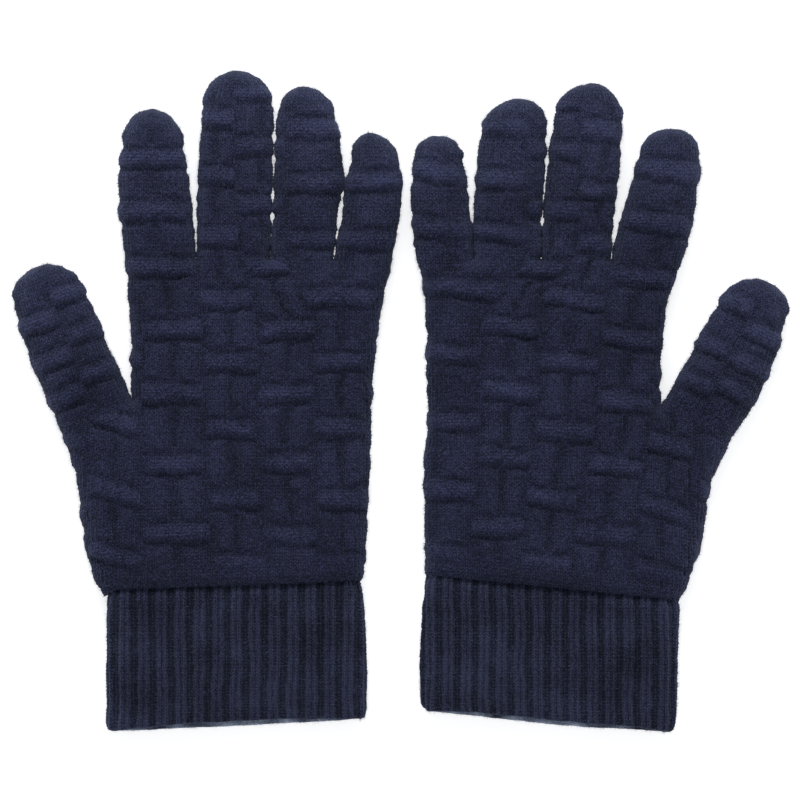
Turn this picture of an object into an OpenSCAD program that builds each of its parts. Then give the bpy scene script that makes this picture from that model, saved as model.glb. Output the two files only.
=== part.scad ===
// A pair of knitted gloves, left and right, laid flat side by side with the
// palms up and the thumbs outwards.
//
// Frame: +Z up out of the surface the gloves lie on, +Y towards the fingertips,
// +X to the right. The origin is on that surface, at the middle of the pair.
// Every tube of knitting is hollow and opens into the next one, from the
// cast-on edge at the wrist to the closed end of each finger.

/* [Glove size] */
// Length from the cast-on edge to the tip of the middle finger, mm
glove_len = 250; // [230:5:275]
// Width of the hand laid flat, above the thumb, mm
hand_w = 92; // [84:1:100]
// Height of a glove as it lies, mm
lay_h = 12; // [11:0.5:14]

/* [Knit] */
// Thickness of one layer of the knitted hand, mm
knit_t = 2.4; // [2:0.1:2.6]
// Height of the cuff as it lies, mm
cuff_h = 11; // [10:0.5:12]
// Height of a finger as it lies, mm
finger_h = 11.5; // [10.5:0.5:12.5]
// Number of ribs all round a cuff
cuff_ribs = 28; // [20:2:36]
// Depth of the furrow between two ribs, mm
rib_depth = 0.9; // [0.4:0.1:1.2]
// Width of the cast-on edge below the ribs, mm
edge_w = 3; // [2:0.5:5]

/* [Bends] */
// Share of a finger that lies below its middle bend
knuckle_at = 0.5; // [0.4:0.05:0.6]
// Clearance between two pieces that bend against each other, mm
gap = 0.3; // [0.2:0.05:0.5]

/* [Colours] */
// Colour of the hand and the lower halves of the fingers
hand_colour = "midnightblue"; // [midnightblue, darkslategray, maroon, dimgray]
// Colour of the fingertips
tip_colour = "darkslateblue"; // [darkslateblue, slategray, brown, gray]
// Colour of the cuffs
cuff_colour = "navy"; // [navy, darkslategray, maroon, black]

/* [Hidden] */

// the tables below are drawn for a 250 mm glove with a 92 mm hand
sx = hand_w / 92;
sy = glove_len / 250;

// points round a finger, round a hand, and rings along one half of a finger
fin_n = 20;
hand_n = 24;
fin_rings = 3;
dome_rings = 5;

// Fingers: [rows, tip]. A row is [y, left edge, right edge], from the hand
// outwards; the tip is the [x, y] of the closed end.
crotch_y = 54;
L_INDEX  = [[[54, -104, -77.3], [63, -105, -77.8], [74, -106.2, -79], [88.5, -106.4, -80.8], [97.5, -105.6, -82.4]], [-94.8, 110.2]];
L_MIDDLE = [[[54, -77.3, -49.1], [64.5, -76.7, -49], [81.5, -76.7, -48.7], [96, -75.6, -48.3], [111.5, -74.3, -47.8]], [-61.2, 125.3]];
L_RING   = [[[54, -49.1, -25.3], [70.5, -48.2, -23.8], [85.5, -47.4, -21.6], [99.5, -47.3, -22.3], [106.5, -46.9, -24]], [-36, 118.8]];
L_LITTLE = [[[54, -25.3, -2.4], [64.5, -23.1, -0.7], [81.5, -21, 0.7], [91, -18.8, -0.6]], [-11.3, 101.6]];
R_INDEX  = [[[54, 79.7, 106.4], [61, 81.1, 108.7], [68, 83.2, 110.7], [76.5, 85.2, 112.5], [88.5, 88.3, 114], [92, 89.2, 113.4]], [102.6, 103.5]];
R_MIDDLE = [[[54, 53.2, 79.6], [63, 53.6, 79.9], [80, 54.8, 81.8], [93.5, 56.1, 83.2], [107, 57.5, 83.9]], [71.4, 120]];
R_RING   = [[[54, 27.9, 53.1], [64.5, 27.3, 53.3], [80, 27.8, 53.7], [99.5, 29.7, 54.6], [103, 30.2, 54.4]], [44.4, 114.7]];
R_LITTLE = [[[54, 6.7, 27.6], [64.5, 4.9, 27.1], [78.5, 4, 25.7], [90.5, 4.6, 24.2]], [14.6, 100.7]];

// Thumbs: rows and tip as for a finger, in the thumb's own frame. Its origin is
// the middle of the thumb's root, and it leans by the given angle from +Y.
L_THUMB = [[[0, -14.8, 14.8], [14, -15.8, 14.2], [31, -15.6, 13.7], [39, -15.4, 13.6], [46, -14.6, 13.4]], [1.5, 59]];
R_THUMB = [[[0, -14.6, 15], [7.5, -13.2, 16.4], [20.5, -12.5, 17.1], [35, -12.4, 16.8], [46.5, -12.6, 14.5]], [1, 59.3]];
L_ROOT = [-115.3, -4.2, 21];
R_ROOT = [111.6, -7.3, -26];
// half the width of each thumb's root
L_HALF = 14.8;
R_HALF = 14.6;

// Hands: rows [y, left edge, right edge, slant of the row], wrist first. The
// rows near y = 0 bulge past the root of the thumb, and are cut back there.
L_HAND = [
    [-69.5, -113.4, -14.6, 0.035], [-64, -116, -13.8, 0.03], [-58, -118.4, -13, 0.02], [-45, -120.4, -12, 0],
    [-29, -122, -11.4, 0], [-16, -126.5, -11, 0], [-10.8, -128.8, -10.8, 0], [-6, -130, -10.5, 0],
    [0, -117, -10.2, 0], [3, -108, -10, 0], [4.5, -101.7, -9.9, 0], [24, -101.8, -8.6, 0], [34, -102.1, -7, 0],
    [44, -103, -4.8, 0], [54, -104, -2.4, 0]
];
R_HAND = [
    [-70.2, 8.9, 106.8, -0.1], [-64, 8.9, 108.6, -0.08], [-58, 8.8, 111, -0.06], [-45, 8.6, 114.5, -0.03],
    [-31, 8.8, 116.4, 0], [-18, 9.3, 122.8, 0], [-13.7, 9.5, 124.9, 0], [-9.3, 9.7, 126.6, 0],
    [-3, 10, 114, 0], [0.5, 10.2, 105, 0], [2.5, 10.3, 98.3, 0], [21.5, 10.2, 98.5, 0], [35, 9.9, 100, 0],
    [44, 8.8, 102.8, 0], [54, 6.7, 106.4, 0]
];

// Cuffs: rows as for a hand, cast-on edge first.
L_CUFF = [[-122.4, -110.4, -13, 0.05], [-105, -111.2, -12.2, 0.045], [-86, -110.8, -13.3, 0.04], [-69.5, -110.3, -14.6, 0.035]];
R_CUFF = [[-121.2, 7.8, 103.6, -0.086], [-105, 7, 104.8, -0.09], [-86, 7.9, 105, -0.095], [-70.2, 8.9, 105.2, -0.1]];

// The seam between hand and gusset runs from the thumb's crotch to this point
// at the wrist.
L_SEAM = [-97, -76];
R_SEAM = [94, -80];

function scaled(rows) = [for (r = rows) [r[0] * sy, r[1] * sx, r[2] * sx, r[3]]];
function finger(f) = [scaled([for (r = f[0]) [r[0], r[1], r[2], 0]]), [f[1][0] * sx, f[1][1] * sy]];
function flat1(a) = [for (b = a) each b];
// the value of column c of a table at height y
function at(rows, y, c) = lookup(y, [for (r = rows) [r[0], r[c]]]);

// A ring of n points round a flattened tube: straight above and below, round at
// both sides. It stands across the tube at y, slanted by s.
function ring(y, x0, x1, s, z0, z1, n) =
    let (a = (x1 - x0) / 2, b = (z1 - z0) / 2, xc = (x0 + x1) / 2, zc = (z0 + z1) / 2, r = min(a, b), h = n / 2)
    [for (i = [0 : n - 1])
        let (right = i < h, k = right ? i : i - h, t = -90 + 180 * k / (h - 1),
             x = right ? xc + a - r + r * cos(t) : xc - a + r - r * cos(t),
             z = right ? zc + b * sin(t) : zc - b * sin(t))
        [x, y + s * (x - xc), z]];

// A closed solid from the outer and the inner rings of a tube. The tube is open
// at its first ring, and at its last one too unless it is capped.
module tube(o, i, capped = false) {
    n = len(o[0]);
    m = len(o);
    k = len(i);
    q = m * n;
    side_o = [for (j = [0 : m - 2], a = [0 : n - 1])
        let (b = (a + 1) % n, p = j * n) each [[p + a, p + b, p + n + b], [p + a, p + n + b, p + n + a]]];
    side_i = [for (j = [0 : k - 2], a = [0 : n - 1])
        let (b = (a + 1) % n, p = q + j * n) each [[p + a, p + n + b, p + b], [p + a, p + n + a, p + n + b]]];
    mouth = [for (a = [0 : n - 1]) let (b = (a + 1) % n) each [[b, a, q + a], [b, q + a, q + b]]];
    lo = (m - 1) * n;
    li = q + (k - 1) * n;
    ends = capped
        ? concat([for (a = [1 : n - 2]) [lo, lo + a, lo + a + 1]], [for (a = [1 : n - 2]) [li, li + a + 1, li + a]])
        : [for (a = [0 : n - 1]) let (b = (a + 1) % n) each [[lo + a, lo + b, li + b], [lo + a, li + b, li + a]]];
    polyhedron(points = concat(flat1(o), flat1(i)), faces = concat(side_o, side_i, mouth, ends), convexity = 6);
}

// the rings of a finger between two heights, set in from its outline
function fin_part(f, y0, y1, inset) =
    [for (k = [0 : fin_rings])
        let (y = y0 + (y1 - y0) * k / fin_rings)
        ring(y, at(f[0], y, 1) + inset, at(f[0], y, 2) - inset, 0, inset - gap / 2, finger_h - inset + gap / 2, fin_n)];

// the rings of the rounded end, from the last row of the outline to the tip
function fin_dome(f, inset) =
    let (e = f[0][len(f[0]) - 1], y0 = e[0], yt = f[1][1] - inset + gap / 2,
         a = (e[2] - e[1]) / 2 - inset, xc = (e[1] + e[2]) / 2,
         h = finger_h - 2 * inset + gap)
    [for (k = [1 : dome_rings])
        let (t = 82 * k / dome_rings, c = cos(t), x = xc + (f[1][0] - xc) * (1 - c),
             hh = h * (0.4 + 0.6 * c), z0 = inset - gap / 2 + (h - hh) * 0.3)
        ring(y0 + (yt - y0) * sin(t) / sin(82), x - a * c, x + a * c, 0, z0, z0 + hh, fin_n)];

function mid_y(f) = f[0][0][0] + (f[1][1] - f[0][0][0]) * knuckle_at;

module finger_tube(f) {
    y0 = f[0][0][0] + gap / 2;
    y1 = mid_y(f) - gap / 2;
    tube(fin_part(f, y0, y1, gap / 2), fin_part(f, y0, y1, knit_t));
}

module finger_end(f) {
    y0 = mid_y(f) + gap / 2;
    y1 = f[0][len(f[0]) - 1][0];
    tube(concat(fin_part(f, y0, y1, gap / 2), fin_dome(f, gap / 2)),
         concat(fin_part(f, y0, y1, knit_t), fin_dome(f, knit_t)), true);
}

function hand_rings(rows, inset) =
    [for (j = [0 : len(rows) - 1])
        let (r = rows[j], y = r[0] + (j == 0 ? gap / 2 : j == len(rows) - 1 ? -gap / 2 : 0))
        ring(y, r[1] + inset, r[2] - inset, r[3], inset, lay_h - inset, hand_n)];

// half is half the width of the thumb's root, side is -1 with the thumb on the left
module hand_shell(rows, root, half, side) {
    difference() {
        tube(hand_rings(scaled(rows), 0), hand_rings(scaled(rows), knit_t));
        // the opening into the thumb
        at_root(root) translate([side < 0 ? -half - 8 : -half - gap / 2, -gap / 2, -1])
            cube([2 * half + 8 + gap / 2, 30, lay_h + 2]);
    }
}

module at_root(root) translate([root[0] * sx, root[1] * sy, 0]) rotate([0, 0, root[2]]) children();

// everything on the thumb's side of the seam, side = -1 to the left of it
module thumb_side(root, seam, half, side) {
    // the crotch of the thumb
    c = [root[0] * sx - side * half * cos(root[2]), root[1] * sy - side * half * sin(root[2])];
    s = [seam[0] * sx, seam[1] * sy];
    // far end of the line across the thumb's root
    e = c + side * 60 * [cos(root[2]), sin(root[2])];
    linear_extrude(height = 3 * lay_h, center = true)
        polygon([s, c, e, [e[0], s[1] - 10], [s[0], s[1] - 10]]);
}

// A ribbed ring: n points evenly spaced round the flattened tube, the furrows
// set in by d.
function rib_ring(r, y, z0, z1, d, inset) =
    let (n = 4 * cuff_ribs, w = r[2] - r[1] - 2 * inset, h = z1 - z0, q = h / 2, l = w - h,
         xc = (r[1] + r[2]) / 2, zc = (z0 + z1) / 2, p = 2 * l + 2 * PI * q)
    [for (i = [0 : n - 1])
        let (s = p * (i + 0.5) / n, f = (i % 4 < 2) ? 0 : d,
             a = s < l / 2, b = s < l / 2 + PI * q, c = s < 1.5 * l + PI * q, e = s < 1.5 * l + 2 * PI * q,
             t = a ? -90 : b ? -90 + 180 * (s - l / 2) / (PI * q) : c ? 90
                 : e ? 90 + 180 * (s - 1.5 * l - PI * q) / (PI * q) : 270,
             x = a ? s : b ? l / 2 : c ? l / 2 - (s - l / 2 - PI * q) : e ? -l / 2
                 : -l / 2 + (s - 1.5 * l - 2 * PI * q),
             u = xc + x + (q - f) * cos(t))
        [u, y + r[3] * (u - xc), zc + (q - f) * sin(t)]];

// one stretch of the cuff between two heights
function cuff_row(rows, y) = [y, at(rows, y, 1), at(rows, y, 2), at(rows, y, 3)];

module ribbed_tube(rows) {
    ys = [rows[0][0] + edge_w, rows[1][0], rows[2][0], rows[3][0] - gap / 2];
    z0 = (lay_h - cuff_h) * 0;
    tube([for (y = ys) rib_ring(cuff_row(rows, y), y, z0, z0 + cuff_h, rib_depth, 0)],
         [for (y = ys) rib_ring(cuff_row(rows, y), y, z0 + knit_t, z0 + cuff_h - knit_t, 0, knit_t)]);
}

// the cast-on edge: a plain band, rounded on its outside
module edge_band(rows) {
    y0 = rows[0][0];
    o = [[0, 0.9], [0.2, 0.3], [0.6, 0], [1, 0.3]];
    tube([for (e = o) let (y = y0 + e[0] * edge_w, r = cuff_row(rows, y))
              ring(y, r[1] + e[1], r[2] - e[1], r[3], e[1] * 0.6, cuff_h - e[1] * 0.6, hand_n)],
         [for (e = [0, 1]) let (y = y0 + e * edge_w, r = cuff_row(rows, y))
              ring(y, r[1] + knit_t, r[2] - knit_t, r[3], knit_t, cuff_h - knit_t, hand_n)]);
}

// ---- left glove ----
module left_cuff_edge() color(cuff_colour) edge_band(scaled(L_CUFF));
module left_cuff() color(cuff_colour) ribbed_tube(scaled(L_CUFF));
module left_hand() color(hand_colour) difference() {
    hand_shell(L_HAND, L_ROOT, L_HALF * sx, -1);
    thumb_side(L_ROOT, L_SEAM, L_HALF * sx, -1);
}
module left_thumb_gusset() color(hand_colour) intersection() {
    hand_shell(L_HAND, L_ROOT, L_HALF * sx, -1);
    thumb_side(L_ROOT, L_SEAM, L_HALF * sx, -1);
}
module left_index_finger() color(hand_colour) finger_tube(finger(L_INDEX));
module left_index_tip() color(tip_colour) finger_end(finger(L_INDEX));
module left_middle_finger() color(hand_colour) finger_tube(finger(L_MIDDLE));
module left_middle_tip() color(tip_colour) finger_end(finger(L_MIDDLE));
module left_ring_finger() color(hand_colour) finger_tube(finger(L_RING));
module left_ring_tip() color(tip_colour) finger_end(finger(L_RING));
module left_little_finger() color(hand_colour) finger_tube(finger(L_LITTLE));
module left_little_tip() color(tip_colour) finger_end(finger(L_LITTLE));
module left_thumb() color(hand_colour) at_root(L_ROOT) finger_tube(finger(L_THUMB));
module left_thumb_tip() color(tip_colour) at_root(L_ROOT) finger_end(finger(L_THUMB));

// ---- right glove ----
module right_cuff_edge() color(cuff_colour) edge_band(scaled(R_CUFF));
module right_cuff() color(cuff_colour) ribbed_tube(scaled(R_CUFF));
module right_hand() color(hand_colour) difference() {
    hand_shell(R_HAND, R_ROOT, R_HALF * sx, 1);
    thumb_side(R_ROOT, R_SEAM, R_HALF * sx, 1);
}
module right_thumb_gusset() color(hand_colour) intersection() {
    hand_shell(R_HAND, R_ROOT, R_HALF * sx, 1);
    thumb_side(R_ROOT, R_SEAM, R_HALF * sx, 1);
}
module right_index_finger() color(hand_colour) finger_tube(finger(R_INDEX));
module right_index_tip() color(tip_colour) finger_end(finger(R_INDEX));
module right_middle_finger() color(hand_colour) finger_tube(finger(R_MIDDLE));
module right_middle_tip() color(tip_colour) finger_end(finger(R_MIDDLE));
module right_ring_finger() color(hand_colour) finger_tube(finger(R_RING));
module right_ring_tip() color(tip_colour) finger_end(finger(R_RING));
module right_little_finger() color(hand_colour) finger_tube(finger(R_LITTLE));
module right_little_tip() color(tip_colour) finger_end(finger(R_LITTLE));
module right_thumb() color(hand_colour) at_root(R_ROOT) finger_tube(finger(R_THUMB));
module right_thumb_tip() color(tip_colour) at_root(R_ROOT) finger_end(finger(R_THUMB));

left_cuff_edge();
left_cuff();
left_hand();
left_thumb_gusset();
left_index_finger();
left_index_tip();
left_middle_finger();
left_middle_tip();
left_ring_finger();
left_ring_tip();
left_little_finger();
left_little_tip();
left_thumb();
left_thumb_tip();
right_cuff_edge();
right_cuff();
right_hand();
right_thumb_gusset();
right_index_finger();
right_index_tip();
right_middle_finger();
right_middle_tip();
right_ring_finger();
right_ring_tip();
right_little_finger();
right_little_tip();
right_thumb();
right_thumb_tip();
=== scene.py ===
import bpy
import math
import numpy as np
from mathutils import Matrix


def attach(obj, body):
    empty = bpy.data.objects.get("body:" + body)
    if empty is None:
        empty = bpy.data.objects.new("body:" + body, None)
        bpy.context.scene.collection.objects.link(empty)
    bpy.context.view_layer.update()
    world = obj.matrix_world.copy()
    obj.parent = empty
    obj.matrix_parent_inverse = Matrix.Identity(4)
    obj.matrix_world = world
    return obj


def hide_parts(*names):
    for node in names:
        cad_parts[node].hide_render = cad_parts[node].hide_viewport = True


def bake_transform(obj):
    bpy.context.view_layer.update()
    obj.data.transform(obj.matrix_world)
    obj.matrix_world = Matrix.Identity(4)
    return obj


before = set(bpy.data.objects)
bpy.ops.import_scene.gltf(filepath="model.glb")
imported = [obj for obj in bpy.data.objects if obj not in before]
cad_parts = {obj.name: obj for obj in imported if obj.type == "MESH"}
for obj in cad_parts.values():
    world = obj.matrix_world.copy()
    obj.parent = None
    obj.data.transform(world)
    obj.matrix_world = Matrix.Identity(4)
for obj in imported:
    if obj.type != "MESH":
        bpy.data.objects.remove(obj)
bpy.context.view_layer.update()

# ----------------------------------------------------------------------------
# Sizes, in millimetres, in the CAD frame. The right glove is made with its
# thumb on the -X side like the left one, then mirrored.
# ----------------------------------------------------------------------------
WALE = 1.75        # width of one column of stitches
COURSE = 1.25      # height of one row of stitches
DX = 0.37          # mesh spacing across the wales
DY = 0.3125        # mesh spacing along the wales
HAND_H = 6.0       # half the height of a hand as it lies
FING_H = 5.75      # half the height of a finger
CUFF_H = 5.5       # half the height of a cuff

GLOVES = {
    "left": dict(
        flip=1,
        root=(-115.3, -4.2, 21.0, 14.8),
        crotch=(-101.5, 1.1),
        seam_low=(-97.0, -76.0),
        inner=[[1.1, -101.5], [4.5, -101.7], [24, -101.8], [34, -102.1], [44, -103], [54, -104]],
        outer=[[-69.5, -114.2], [-64, -116.6], [-58, -118.6], [-45, -120.4], [-29, -122], [-16, -126.5],
               [-9.5, -129.1], [3.2, -135.1], [18, -140.6]],
        right=[[-69.5, -14.8], [-64, -14.1], [-58, -13.4], [-45, -12.4], [-29, -11.8], [-16, -11.3], [-6, -10.8],
               [0, -10.5], [4.5, -10.2], [24, -9.1], [34, -7.6], [44, -5.5], [54, -3.1]],
        low=(-69.5, 0.035),
        droop=(2.8, -106.5, -113.0),
        crotches=[-77.3, -49.1, -25.3],
        fingers={
            "index": ([[54, -104, -77.3], [63, -105, -77.8], [74, -106.2, -79], [88.5, -106.4, -80.8], [97.5, -105.1, -82.2]], [-94.2, 110.2], 82.1),
            "middle": ([[54, -77.3, -49.1], [64.5, -76.7, -49.2], [81.5, -76.7, -49.1], [96, -75.7, -48.7], [111.5, -74.5, -48.4]], [-61.9, 125.3], 89.65),
            "ring": ([[54, -49.1, -25.3], [70.5, -48.1, -23.4], [85.5, -47.2, -21.5], [99.5, -47, -22.5], [106.5, -46.5, -24.4]], [-36, 118.8], 86.4),
            "little": ([[54, -25.3, -3.1], [64.5, -23.4, -1.2], [81.5, -21, 0.6], [91, -18.3, -0.6]], [-11.3, 101.6], 77.8),
        },
        thumb=([[0, -14.8, 14.8], [14, -15.8, 13.9], [31, -15.6, 13.4], [39, -15.4, 13.3], [46, -14.6, 12.6]], [-1.5, 59.6], 29.5),
        cuff=[[-122.4, -110.4, -13.3, 0.05], [-105, -111.1, -12.8, 0.045], [-86, -110.3, -13.9, 0.04], [-69.5, -110.8, -14.9, 0.035]],
        rib=(-100.7, 7.05),
    ),
    "right": dict(
        flip=-1,
        root=(-111.6, -7.3, 26.0, 14.6),
        crotch=(-98.5, -0.9),
        seam_low=(-94.0, -80.0),
        inner=[[-0.9, -98.5], [2.5, -98.5], [21.5, -98.9], [35, -100.5], [44, -103.1], [54, -106.4]],
        outer=[[-70.2, -107.4], [-64, -109.9], [-58, -112], [-45, -115.2], [-31, -117.2], [-18, -123.2],
               [-13.7, -125.1], [-6, -128.9], [6, -134.9]],
        right=[[-70.2, -9.3], [-64, -9.2], [-58, -9.1], [-45, -9], [-31, -9.2], [-18, -9.6], [-9.3, -9.9],
               [-3, -10.1], [2.5, -10.3], [21.5, -10.1], [35, -9.5], [44, -8.3], [54, -6.4]],
        low=(-70.2, 0.1),
        droop=(1.0, -100.0, -106.0),
        crotches=[-79.7, -53.15, -27.75],
        fingers={
            "index": ([[54, -106.4, -79.7], [61, -108.4, -81.1], [68, -110.2, -83.2], [76.5, -111.9, -85.4], [88.5, -113.3, -88.7], [92, -112.8, -89.7]], [-102.3, 103.5], 78.75),
            "middle": ([[54, -79.7, -53.15], [63, -79.9, -53.6], [80, -81.8, -54.8], [93.5, -83.2, -56.4], [107, -83.8, -58.3]], [-71.8, 120], 87.0),
            "ring": ([[54, -53.15, -27.75], [64.5, -53.3, -27.6], [80, -53.9, -28.3], [99.5, -54.9, -30.5], [103, -54.7, -31.1]], [-44.8, 114.7], 84.35),
            "little": ([[54, -27.75, -6.4], [64.5, -27.1, -4.8], [78.5, -25.4, -4.2], [90.5, -23.6, -5.3]], [-14.6, 100.7], 77.35),
        },
        thumb=([[0, -14.8, 14.6], [7.5, -16.8, 13.3], [20.5, -17.2, 12.9], [35, -16.6, 12.6], [46.5, -14.2, 11.7]], [-2.5, 59.3], 29.65),
        cuff=[[-121.2, -103.2, -8.4, 0.086], [-105, -104.3, -7.7, 0.09], [-86, -104.4, -8.6, 0.095], [-70.2, -105.2, -9.4, 0.1]],
        rib=(21.4, 6.79),
    ),
}

# Basket-weave blocks, one entry for each column of blocks: its left edge and
# right edge as [y, x] rows, the heights of its raised bars, and how much the
# bars drop towards +X. World millimetres.
BLOCKS = {
    "left": [
        ([[-60, -140], [60, -140]], [[-70, -118], [60, -118]], [2.8, -23.2, -50.1], 0.3, -97),
        ([[-70, -118], [60, -118]], [[-70, -97.5], [27, -97.3], [38, -99.2], [54, -108], [60, -125]], [14.9, -10.4, -37.2, -61.8], 0.3, -97),
        ([[-70, -97.5], [27, -97.3], [38, -99.2], [54, -108], [120, -112]], [[-70, -70.5], [-54, -71.3], [-37, -72.8], [-11, -74.3], [27, -74.3], [38, -75.8], [54, -77.3], [120, -77.3]],
         [91.3, 71.3, 50.5, 27, 2.8, -23.2, -50.1], 0.0, 0),
        ([[-70, -70.5], [-54, -71.3], [-37, -72.8], [-11, -74.3], [27, -74.3], [38, -75.8], [54, -77.3], [120, -77.3]],
         [[-70, -50], [-55, -50.8], [-37, -52.4], [-11, -53.9], [27, -53.1], [42, -56.9], [57, -60.7], [84, -62.2], [125, -63]],
         [106.8, 84.9, 61.8, 38.7, 14.9, -10.4, -37.2, -61.8], 0.0, 0),
        ([[-70, -50], [-55, -50.8], [-37, -52.4], [-11, -53.9], [27, -53.1], [42, -56.9], [57, -60.7], [84, -62.2], [125, -63]],
         [[-70, -31], [-55, -31.2], [-37, -31.9], [-11, -32.7], [27, -31.9], [42, -38], [57, -43.7], [125, -43.7]],
         [116.6, 95.8, 74.3, 51.2, 27, 2.8, -23.2, -50.1], 0.0, 0),
        ([[-70, -31], [-55, -31.2], [-37, -31.9], [-11, -32.7], [27, -31.9], [42, -38], [57, -43.7], [125, -43.7]],
         [[-70, -12.7], [23, -12.7], [38, -9.6], [57, 2], [125, 2]],
         [103, 82.6, 60.9, 38.7, 14.9, -10.4, -37.2, -61.8], 0.0, 0),
        ([[-70, -12.7], [23, -12.7], [38, -9.6], [57, 2], [125, 2]], [[-70, 10], [125, 20]], [27, 2.8, -23.2, -50.1], 0.0, 0),
    ],
    "right": [
        ([[-70, 0], [120, -10]], [[-70, 26], [-54, 26.3], [-37, 28.2], [-11, 30.1], [27, 30.4], [42, 39.5], [57, 48.2], [125, 48.2]],
         [102.3, 82.8, 62, 39.7, 14.9, -10.2, -36.3, -61], 0.09, 52.7),
        ([[-70, 26], [-54, 26.3], [-37, 28.2], [-11, 30.1], [27, 30.4], [42, 39.5], [57, 48.2], [125, 48.2]],
         [[-70, 45], [-52, 45.9], [-36.5, 47.1], [-10, 50.8], [4, 52], [38, 52.7], [48, 60.3], [61, 67.1], [125, 68.5]],
         [114.7, 95.1, 73, 49.7, 27, 2.5, -22.1, -48.6], 0.09, 52.7),
        ([[-70, 45], [-52, 45.9], [-36.5, 47.1], [-10, 50.8], [4, 52], [38, 52.7], [48, 60.3], [61, 67.1], [125, 68.5]],
         [[-70, 64], [-50, 65.2], [-36, 67.9], [-10, 73.5], [15, 74.7], [35, 76.9], [54, 80], [90, 86], [125, 90]],
         [103.8, 81.8, 61, 39.7, 14.9, -10.2, -36.3, -61], 0.09, 52.7),
        ([[-70, 64], [-50, 65.2], [-36, 67.9], [-10, 73.5], [15, 74.7], [35, 76.9], [54, 80], [90, 86], [125, 90]],
         [[-70, 86], [-40, 90], [0, 95.1], [27, 96.5], [54, 112], [70, 125]],
         [91.5, 71.5, 50.5, 27, 2.5, -22.1, -48.6], 0.12, 62),
        ([[-70, 86], [-40, 90], [0, 95.1], [27, 96.5], [54, 112], [70, 125]], [[-70, 108], [20, 112]], [11.5, -14.2, -40, -65], 0.34, 95),
        ([[-70, 108], [20, 112]], [[-70, 150], [20, 150]], [-1.5, -27, -52], 0.34, 95),
    ],
}
THUMB_BLOCKS = {   # in the thumb's own frame, along it and across it
    "left": [([[-5, -30], [60, -30]], [[-5, 0], [60, 0]], [39.5, 24.4, 9], 0, 0),
             ([[-5, 0], [60, 0]], [[-5, 30], [60, 30]], [46, 30, 14.2], 0, 0)],
    "right": [([[-5, -30], [60, -30]], [[-5, -1], [60, -1]], [40.5, 28, 16.5], 0, 0),
              ([[-5, -1], [60, -1]], [[-5, 30], [60, 30]], [47, 28.5, 13.2], 0, 0)],
}


# ----------------------------------------------------------------------------
# Small maths
# ----------------------------------------------------------------------------
def smooth(a, b, x):
    t = np.clip((np.asarray(x, float) - a) / (b - a), 0, 1)
    return t * t * (3 - 2 * t)


def spline(xs, ys):
    """A smooth curve through the points with no overshoot."""
    xs, ys = np.array(xs, float), np.array(ys, float)
    d = np.diff(ys) / np.diff(xs)
    m = np.zeros(len(xs))
    for i in range(1, len(xs) - 1):
        if d[i - 1] * d[i] > 0:
            m[i] = 2 * d[i - 1] * d[i] / (d[i - 1] + d[i])
    m[0], m[-1] = d[0], d[-1]

    def f(q):
        q = np.asarray(q, float)
        i = np.clip(np.searchsorted(xs, q) - 1, 0, len(xs) - 2)
        h = xs[i + 1] - xs[i]
        t = (q - xs[i]) / h
        inside = ((2 * t**3 - 3 * t**2 + 1) * ys[i] + (t**3 - 2 * t**2 + t) * h * m[i]
                  + (-2 * t**3 + 3 * t**2) * ys[i + 1] + (t**3 - t**2) * h * m[i + 1])
        low = ys[0] + m[0] * (q - xs[0])
        high = ys[-1] + m[-1] * (q - xs[-1])
        return np.where(q < xs[0], low, np.where(q > xs[-1], high, inside))

    return f


def slope(f, q, e=0.2):
    return (f(np.asarray(q) + e) - f(np.asarray(q) - e)) / (2 * e)


RAND = np.random.RandomState(7).rand(8, 128, 128)


def noise(x, y, size, seed):
    """Smooth value noise from -1 to 1."""
    tab = RAND[seed % 8]
    u, v = x / size + 31.7 * seed, y / size + 17.3 * seed
    iu, iv = np.floor(u).astype(int), np.floor(v).astype(int)
    fu, fv = u - iu, v - iv
    fu, fv = fu * fu * (3 - 2 * fu), fv * fv * (3 - 2 * fv)
    a = tab[iu % 128, iv % 128]
    b = tab[(iu + 1) % 128, iv % 128]
    c = tab[iu % 128, (iv + 1) % 128]
    d = tab[(iu + 1) % 128, (iv + 1) % 128]
    return 2 * ((a * (1 - fu) + b * fu) * (1 - fv) + (c * (1 - fu) + d * fu) * fv) - 1


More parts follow.
